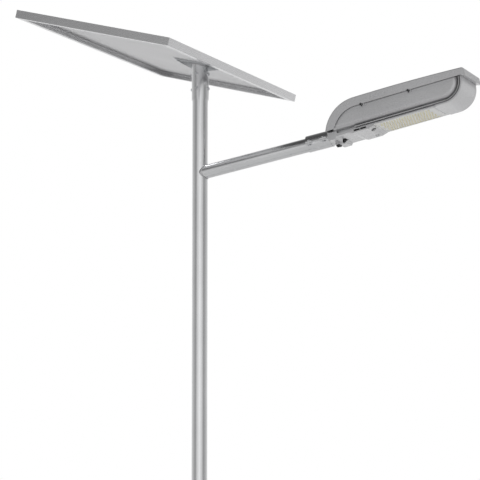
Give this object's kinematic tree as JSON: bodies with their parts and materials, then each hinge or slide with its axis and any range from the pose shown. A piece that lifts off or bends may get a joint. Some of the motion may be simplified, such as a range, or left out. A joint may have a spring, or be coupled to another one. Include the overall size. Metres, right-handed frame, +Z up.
{
  "type": "solar street lamp",
  "caption": "Street lamp on a round steel post with a raked side arm, a box-shaped LED head with lid and motion sensor, and a framed solar module on a pole-top swivel sleeve.",
  "frame": {"origin": "centre of the base plate's underside, on the post's axis", "axes": "+Z up along the post, +X towards the side arm and lamp head"},
  "size_m": [1.9703, 1.58, 4.1514],
  "materials": {
    "galvanised_steel": "hot-dip galvanised, brushed smooth",
    "weld_bead": "as welded",
    "zinc_bolts": "zinc plated",
    "frame_aluminium": "anodised, satin",
    "module_glass": "clear, low iron",
    "silicon": "dark blue, anti-reflective",
    "back_sheet": "light grey film",
    "black_plastic": "black moulded",
    "head_paint": "silver-grey powder coat",
    "seal_rubber": "black",
    "battery_wrap": "blue shrink wrap",
    "electronics_case": "anodised grey",
    "board_white": "light solder mask",
    "led_phosphor": "pale yellow",
    "white_plastic": "white moulded",
    "sensor_lens": "dark",
    "button_plastic": "pale grey"
  },
  "bodies": {
    "post": {"base_plate": "galvanised_steel", "base_gussets": "galvanised_steel", "base_weld": "weld_bead", "pole_tube": "galvanised_steel", "arm_tube": "galvanised_steel", "arm_weld": "weld_bead"},
    "module_mount": {"pole_top_sleeve": "galvanised_steel", "sleeve_set_screws": "zinc_bolts", "saddle_plate": "galvanised_steel", "saddle_gussets": "galvanised_steel", "sleeve_weld": "weld_bead", "saddle_bolts": "zinc_bolts", "module_frame_front_end": "frame_aluminium", "module_frame_low_side": "frame_aluminium", "module_frame_rear_end": "frame_aluminium", "module_frame_high_side": "frame_aluminium", "module_corner_keys": "frame_aluminium", "module_glass": "module_glass", "solar_cells": "silicon", "cell_encapsulant": "module_glass", "module_back_sheet": "back_sheet", "mounting_doubler": "frame_aluminium", "junction_box": "black_plastic", "junction_box_lid": "black_plastic", "junction_box_glands": "black_plastic"},
    "lamp_head": {"clamp_upper_half": "galvanised_steel", "clamp_lower_half": "galvanised_steel", "clamp_bolts": "zinc_bolts", "head_spigot": "galvanised_steel", "lid_hinge_leaves": "zinc_bolts", "lid_hinge_pins": "zinc_bolts", "latch_catches": "zinc_bolts", "battery_tub": "head_paint", "lid_gasket": "seal_rubber", "battery_pack": "battery_wrap", "battery_straps": "galvanised_steel", "charge_controller": "electronics_case", "heat_sink": "frame_aluminium", "base_casting": "head_paint", "nose_casting": "head_paint", "led_board": "board_white", "led_chips": "led_phosphor", "led_bezel": "board_white", "sensor_housing": "white_plastic", "sensor_lens": "sensor_lens", "led_driver": "electronics_case", "power_button_collar": "white_plastic", "cable_gland": "black_plastic", "breather_vent": "black_plastic"},
    "lid": {"lid": "head_paint"},
    "latch_1": {"lid_latch_1": "black_plastic"},
    "latch_2": {"lid_latch_2": "black_plastic"},
    "button": {"power_button": "button_plastic"}
  },
  "joints": [
    {"name": "module_swivel", "type": "hinge", "parent": "post", "child": "module_mount", "pos_m": [0, 0, 3.9], "axis": [0, 0, 1], "range_deg": [-180, 180]},
    {"name": "head_roll", "type": "hinge", "parent": "post", "child": "lamp_head", "pos_m": [0.68783, 0, 3.57997], "axis": [0.9826, 0, 0.1857], "range_deg": [-20, 20]},
    {"name": "lid_hinge", "type": "hinge", "parent": "lamp_head", "child": "lid", "pos_m": [1.06029, 0.1503, 3.75084], "axis": [-0.9778, 0, -0.2096], "range_deg": [0, 95]},
    {"name": "latch_1_turn", "type": "hinge", "parent": "lid", "child": "latch_1", "pos_m": [0.88135, -0.145, 3.71248], "axis": [0, -1, 0], "range_deg": [0, 90]},
    {"name": "latch_2_turn", "type": "hinge", "parent": "lid", "child": "latch_2", "pos_m": [1.11015, -0.145, 3.76153], "axis": [0, -1, 0], "range_deg": [0, 90]},
    {"name": "button_press", "type": "slide", "parent": "lamp_head", "child": "button", "axis": [-0.2096, 0, 0.9778], "range_m": [0, 0.002], "stiffness_N_per_m": 1500}
  ]
}
